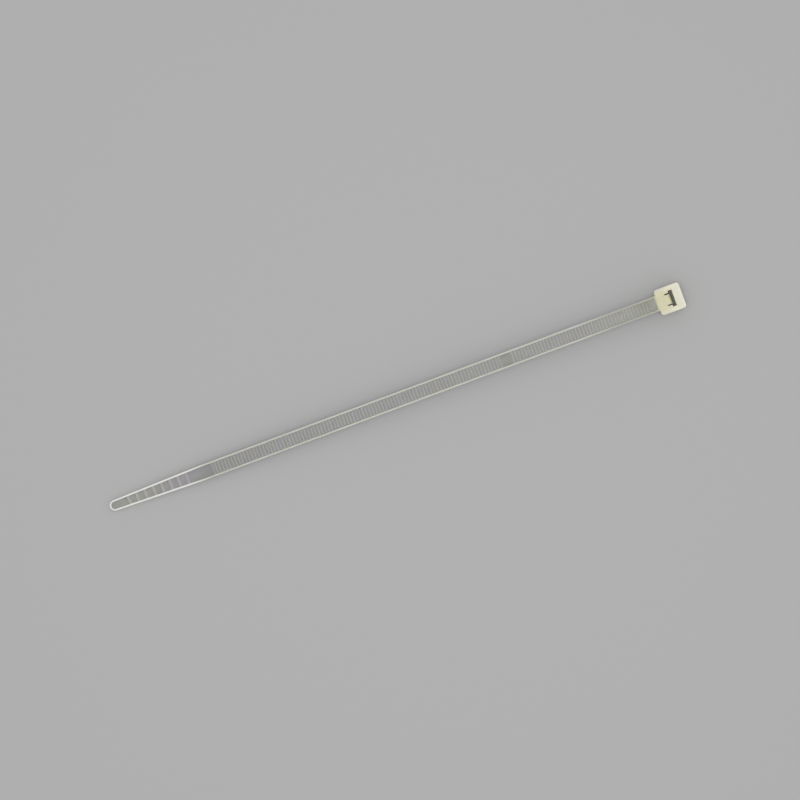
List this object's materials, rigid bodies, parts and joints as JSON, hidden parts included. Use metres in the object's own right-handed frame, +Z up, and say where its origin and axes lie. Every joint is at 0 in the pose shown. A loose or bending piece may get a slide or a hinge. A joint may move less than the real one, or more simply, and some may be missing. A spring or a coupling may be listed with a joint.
{
  "type": "cable tie",
  "caption": "Self-locking cable tie: a flat strap with ratchet teeth between two rails, a tapered ribbed tail, and a square head with a slot and a sprung pawl.",
  "frame": {"origin": "middle of the head's slot, on the head's outer face, which the head stands on", "axes": "+X along the strap from the tail tip to the head, +Z up through the slot to the toothed side that faces a bundle, +Y across the strap"},
  "size_m": [0.188, 0.0082, 0.0052],
  "materials": {
    "nylon": "natural nylon, slightly see-through where it is thin, satin"
  },
  "bodies": {
    "root": {"cable_tie": "nylon"}
  },
  "joints": []
}
